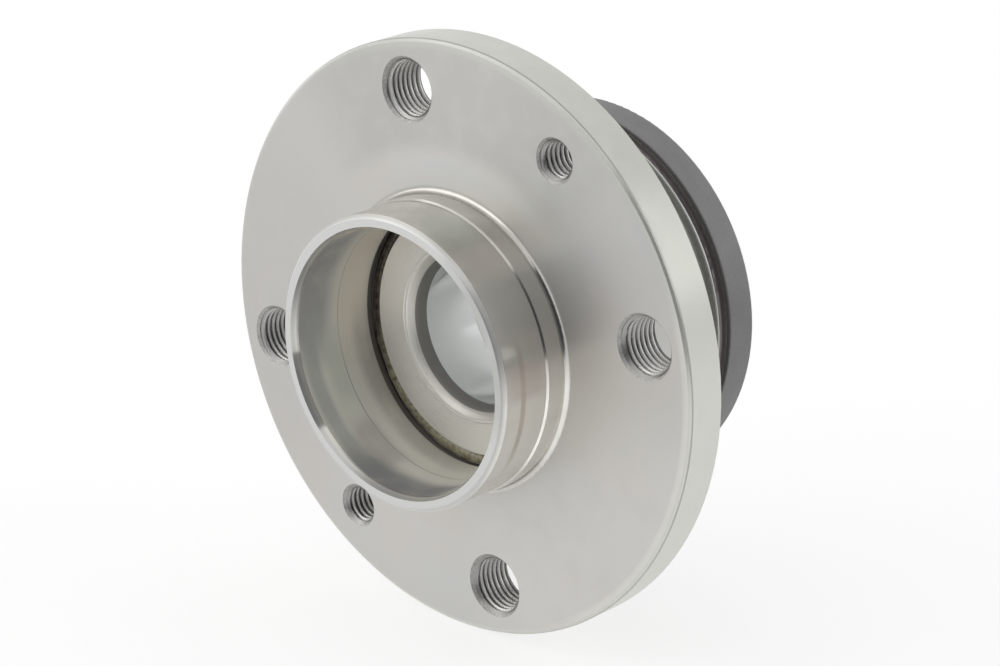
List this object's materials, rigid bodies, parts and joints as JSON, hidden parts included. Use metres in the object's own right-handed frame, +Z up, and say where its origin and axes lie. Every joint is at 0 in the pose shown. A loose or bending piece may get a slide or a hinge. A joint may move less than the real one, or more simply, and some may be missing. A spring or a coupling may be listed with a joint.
{
  "type": "wheel hub bearing",
  "caption": "Rear wheel hub bearing: flanged outer ring with a collar and tapped bolt holes, turning on ball rows round a bored inner ring pair.",
  "frame": {"origin": "centre of the bolt circle, on the flange face that the wheel is bolted against", "axes": "Y is the spin axis: -Y is outboard, out of the collar, and +Y is inboard, towards the axle; +Z is up and +X completes the right-handed frame"},
  "size_m": [0.1177, 0.0621, 0.1178],
  "materials": {
    "hub_steel": "turned steel, light oil, forged neck",
    "ring_steel": "ground bearing steel",
    "ball_steel": "polished bearing steel",
    "clip_steel": "spring steel",
    "cage_plastic": "moulded glass-filled polyamide",
    "seal_steel": "pressed steel sheet",
    "seal_rubber": "moulded nitrile rubber with grease",
    "carrier_steel": "matt phosphated steel sheet",
    "encoder_rubber": "magnetised rubber"
  },
  "bodies": {
    "inner": {"outboard_inner_ring": "ring_steel", "inboard_inner_ring": "ring_steel", "ring_clip": "clip_steel", "inboard_slinger": "seal_steel"},
    "hub": {"hub": "hub_steel", "encoder_carrier": "carrier_steel", "encoder_ring": "encoder_rubber", "inboard_seal_case": "seal_steel", "inboard_seal_lips": "seal_rubber", "outboard_seal_core": "seal_steel", "outboard_seal_rubber": "seal_rubber"},
    "outboard_row": {"outboard_cage": "cage_plastic"},
    "inboard_row": {"inboard_cage": "cage_plastic"},
    "outboard_ball_01": {"outboard_ball_01": "ball_steel"},
    "outboard_ball_02": {"outboard_ball_02": "ball_steel"},
    "outboard_ball_03": {"outboard_ball_03": "ball_steel"},
    "outboard_ball_04": {"outboard_ball_04": "ball_steel"},
    "outboard_ball_05": {"outboard_ball_05": "ball_steel"},
    "outboard_ball_06": {"outboard_ball_06": "ball_steel"},
    "outboard_ball_07": {"outboard_ball_07": "ball_steel"},
    "outboard_ball_08": {"outboard_ball_08": "ball_steel"},
    "outboard_ball_09": {"outboard_ball_09": "ball_steel"},
    "outboard_ball_10": {"outboard_ball_10": "ball_steel"},
    "outboard_ball_11": {"outboard_ball_11": "ball_steel"},
    "outboard_ball_12": {"outboard_ball_12": "ball_steel"},
    "outboard_ball_13": {"outboard_ball_13": "ball_steel"},
    "inboard_ball_01": {"inboard_ball_01": "ball_steel"},
    "inboard_ball_02": {"inboard_ball_02": "ball_steel"},
    "inboard_ball_03": {"inboard_ball_03": "ball_steel"},
    "inboard_ball_04": {"inboard_ball_04": "ball_steel"},
    "inboard_ball_05": {"inboard_ball_05": "ball_steel"},
    "inboard_ball_06": {"inboard_ball_06": "ball_steel"},
    "inboard_ball_07": {"inboard_ball_07": "ball_steel"},
    "inboard_ball_08": {"inboard_ball_08": "ball_steel"},
    "inboard_ball_09": {"inboard_ball_09": "ball_steel"},
    "inboard_ball_10": {"inboard_ball_10": "ball_steel"},
    "inboard_ball_11": {"inboard_ball_11": "ball_steel"},
    "inboard_ball_12": {"inboard_ball_12": "ball_steel"},
    "inboard_ball_13": {"inboard_ball_13": "ball_steel"}
  },
  "joints": [
    {"name": "hub_spin", "type": "hinge", "parent": "inner", "child": "hub", "pos_m": [0, 0.0253, 0], "axis": [0, 1, 0], "continuous": true},
    {"name": "outboard_row_spin", "type": "hinge", "parent": "inner", "child": "outboard_row", "pos_m": [0, 0.0166, 0], "axis": [0, 1, 0], "continuous": true},
    {"name": "inboard_row_spin", "type": "hinge", "parent": "inner", "child": "inboard_row", "pos_m": [0, 0.034, 0], "axis": [0, 1, 0], "continuous": true},
    {"name": "outboard_ball_01_roll", "type": "hinge", "parent": "outboard_row", "child": "outboard_ball_01", "pos_m": [0.0272, 0.0166, 0], "axis": [-0.5736, 0.8192, 0], "continuous": true},
    {"name": "outboard_ball_02_roll", "type": "hinge", "parent": "outboard_row", "child": "outboard_ball_02", "pos_m": [0.02408, 0.0166, 0.01264], "axis": [-0.5079, 0.8192, -0.2666], "continuous": true},
    {"name": "outboard_ball_03_roll", "type": "hinge", "parent": "outboard_row", "child": "outboard_ball_03", "pos_m": [0.01545, 0.0166, 0.02238], "axis": [-0.3258, 0.8192, -0.472], "continuous": true},
    {"name": "outboard_ball_04_roll", "type": "hinge", "parent": "outboard_row", "child": "outboard_ball_04", "pos_m": [0.00328, 0.0166, 0.027], "axis": [-0.0691, 0.8192, -0.5694], "continuous": true},
    {"name": "outboard_ball_05_roll", "type": "hinge", "parent": "outboard_row", "child": "outboard_ball_05", "pos_m": [-0.00965, 0.0166, 0.02543], "axis": [0.2034, 0.8192, -0.5363], "continuous": true},
    {"name": "outboard_ball_06_roll", "type": "hinge", "parent": "outboard_row", "child": "outboard_ball_06", "pos_m": [-0.02036, 0.0166, 0.01804], "axis": [0.4293, 0.8192, -0.3804], "continuous": true},
    {"name": "outboard_ball_07_roll", "type": "hinge", "parent": "outboard_row", "child": "outboard_ball_07", "pos_m": [-0.02641, 0.0166, 0.00651], "axis": [0.5569, 0.8192, -0.1373], "continuous": true},
    {"name": "outboard_ball_08_roll", "type": "hinge", "parent": "outboard_row", "child": "outboard_ball_08", "pos_m": [-0.02641, 0.0166, -0.00651], "axis": [0.5569, 0.8192, 0.1373], "continuous": true},
    {"name": "outboard_ball_09_roll", "type": "hinge", "parent": "outboard_row", "child": "outboard_ball_09", "pos_m": [-0.02036, 0.0166, -0.01804], "axis": [0.4293, 0.8192, 0.3804], "continuous": true},
    {"name": "outboard_ball_10_roll", "type": "hinge", "parent": "outboard_row", "child": "outboard_ball_10", "pos_m": [-0.00965, 0.0166, -0.02543], "axis": [0.2034, 0.8192, 0.5363], "continuous": true},
    {"name": "outboard_ball_11_roll", "type": "hinge", "parent": "outboard_row", "child": "outboard_ball_11", "pos_m": [0.00328, 0.0166, -0.027], "axis": [-0.0691, 0.8192, 0.5694], "continuous": true},
    {"name": "outboard_ball_12_roll", "type": "hinge", "parent": "outboard_row", "child": "outboard_ball_12", "pos_m": [0.01545, 0.0166, -0.02238], "axis": [-0.3258, 0.8192, 0.472], "continuous": true},
    {"name": "outboard_ball_13_roll", "type": "hinge", "parent": "outboard_row", "child": "outboard_ball_13", "pos_m": [0.02408, 0.0166, -0.01264], "axis": [-0.5079, 0.8192, 0.2666], "continuous": true},
    {"name": "inboard_ball_01_roll", "type": "hinge", "parent": "inboard_row", "child": "inboard_ball_01", "pos_m": [0.0272, 0.034, 0], "axis": [0.5736, 0.8192, 0], "continuous": true},
    {"name": "inboard_ball_02_roll", "type": "hinge", "parent": "inboard_row", "child": "inboard_ball_02", "pos_m": [0.02408, 0.034, 0.01264], "axis": [0.5079, 0.8192, 0.2666], "continuous": true},
    {"name": "inboard_ball_03_roll", "type": "hinge", "parent": "inboard_row", "child": "inboard_ball_03", "pos_m": [0.01545, 0.034, 0.02238], "axis": [0.3258, 0.8192, 0.472], "continuous": true},
    {"name": "inboard_ball_04_roll", "type": "hinge", "parent": "inboard_row", "child": "inboard_ball_04", "pos_m": [0.00328, 0.034, 0.027], "axis": [0.0691, 0.8192, 0.5694], "continuous": true},
    {"name": "inboard_ball_05_roll", "type": "hinge", "parent": "inboard_row", "child": "inboard_ball_05", "pos_m": [-0.00965, 0.034, 0.02543], "axis": [-0.2034, 0.8192, 0.5363], "continuous": true},
    {"name": "inboard_ball_06_roll", "type": "hinge", "parent": "inboard_row", "child": "inboard_ball_06", "pos_m": [-0.02036, 0.034, 0.01804], "axis": [-0.4293, 0.8192, 0.3804], "continuous": true},
    {"name": "inboard_ball_07_roll", "type": "hinge", "parent": "inboard_row", "child": "inboard_ball_07", "pos_m": [-0.02641, 0.034, 0.00651], "axis": [-0.5569, 0.8192, 0.1373], "continuous": true},
    {"name": "inboard_ball_08_roll", "type": "hinge", "parent": "inboard_row", "child": "inboard_ball_08", "pos_m": [-0.02641, 0.034, -0.00651], "axis": [-0.5569, 0.8192, -0.1373], "continuous": true},
    {"name": "inboard_ball_09_roll", "type": "hinge", "parent": "inboard_row", "child": "inboard_ball_09", "pos_m": [-0.02036, 0.034, -0.01804], "axis": [-0.4293, 0.8192, -0.3804], "continuous": true},
    {"name": "inboard_ball_10_roll", "type": "hinge", "parent": "inboard_row", "child": "inboard_ball_10", "pos_m": [-0.00965, 0.034, -0.02543], "axis": [-0.2034, 0.8192, -0.5363], "continuous": true},
    {"name": "inboard_ball_11_roll", "type": "hinge", "parent": "inboard_row", "child": "inboard_ball_11", "pos_m": [0.00328, 0.034, -0.027], "axis": [0.0691, 0.8192, -0.5694], "continuous": true},
    {"name": "inboard_ball_12_roll", "type": "hinge", "parent": "inboard_row", "child": "inboard_ball_12", "pos_m": [0.01545, 0.034, -0.02238], "axis": [0.3258, 0.8192, -0.472], "continuous": true},
    {"name": "inboard_ball_13_roll", "type": "hinge", "parent": "inboard_row", "child": "inboard_ball_13", "pos_m": [0.02408, 0.034, -0.01264], "axis": [0.5079, 0.8192, -0.2666], "continuous": true}
  ],
  "couplings": [
    {"joint": "outboard_row_spin", "follows": "hub_spin", "ratio": 0.58357},
    {"joint": "inboard_row_spin", "follows": "hub_spin", "ratio": 0.58357},
    {"joint": "outboard_ball_01_roll", "follows": "hub_spin", "ratio": 2.382},
    {"joint": "outboard_ball_02_roll", "follows": "hub_spin", "ratio": 2.382},
    {"joint": "outboard_ball_03_roll", "follows": "hub_spin", "ratio": 2.382},
    {"joint": "outboard_ball_04_roll", "follows": "hub_spin", "ratio": 2.382},
    {"joint": "outboard_ball_05_roll", "follows": "hub_spin", "ratio": 2.382},
    {"joint": "outboard_ball_06_roll", "follows": "hub_spin", "ratio": 2.382},
    {"joint": "outboard_ball_07_roll", "follows": "hub_spin", "ratio": 2.382},
    {"joint": "outboard_ball_08_roll", "follows": "hub_spin", "ratio": 2.382},
    {"joint": "outboard_ball_09_roll", "follows": "hub_spin", "ratio": 2.382},
    {"joint": "outboard_ball_10_roll", "follows": "hub_spin", "ratio": 2.382},
    {"joint": "outboard_ball_11_roll", "follows": "hub_spin", "ratio": 2.382},
    {"joint": "outboard_ball_12_roll", "follows": "hub_spin", "ratio": 2.382},
    {"joint": "outboard_ball_13_roll", "follows": "hub_spin", "ratio": 2.382},
    {"joint": "inboard_ball_01_roll", "follows": "hub_spin", "ratio": 2.382},
    {"joint": "inboard_ball_02_roll", "follows": "hub_spin", "ratio": 2.382},
    {"joint": "inboard_ball_03_roll", "follows": "hub_spin", "ratio": 2.382},
    {"joint": "inboard_ball_04_roll", "follows": "hub_spin", "ratio": 2.382},
    {"joint": "inboard_ball_05_roll", "follows": "hub_spin", "ratio": 2.382},
    {"joint": "inboard_ball_06_roll", "follows": "hub_spin", "ratio": 2.382},
    {"joint": "inboard_ball_07_roll", "follows": "hub_spin", "ratio": 2.382},
    {"joint": "inboard_ball_08_roll", "follows": "hub_spin", "ratio": 2.382},
    {"joint": "inboard_ball_09_roll", "follows": "hub_spin", "ratio": 2.382},
    {"joint": "inboard_ball_10_roll", "follows": "hub_spin", "ratio": 2.382},
    {"joint": "inboard_ball_11_roll", "follows": "hub_spin", "ratio": 2.382},
    {"joint": "inboard_ball_12_roll", "follows": "hub_spin", "ratio": 2.382},
    {"joint": "inboard_ball_13_roll", "follows": "hub_spin", "ratio": 2.382}
  ]
}
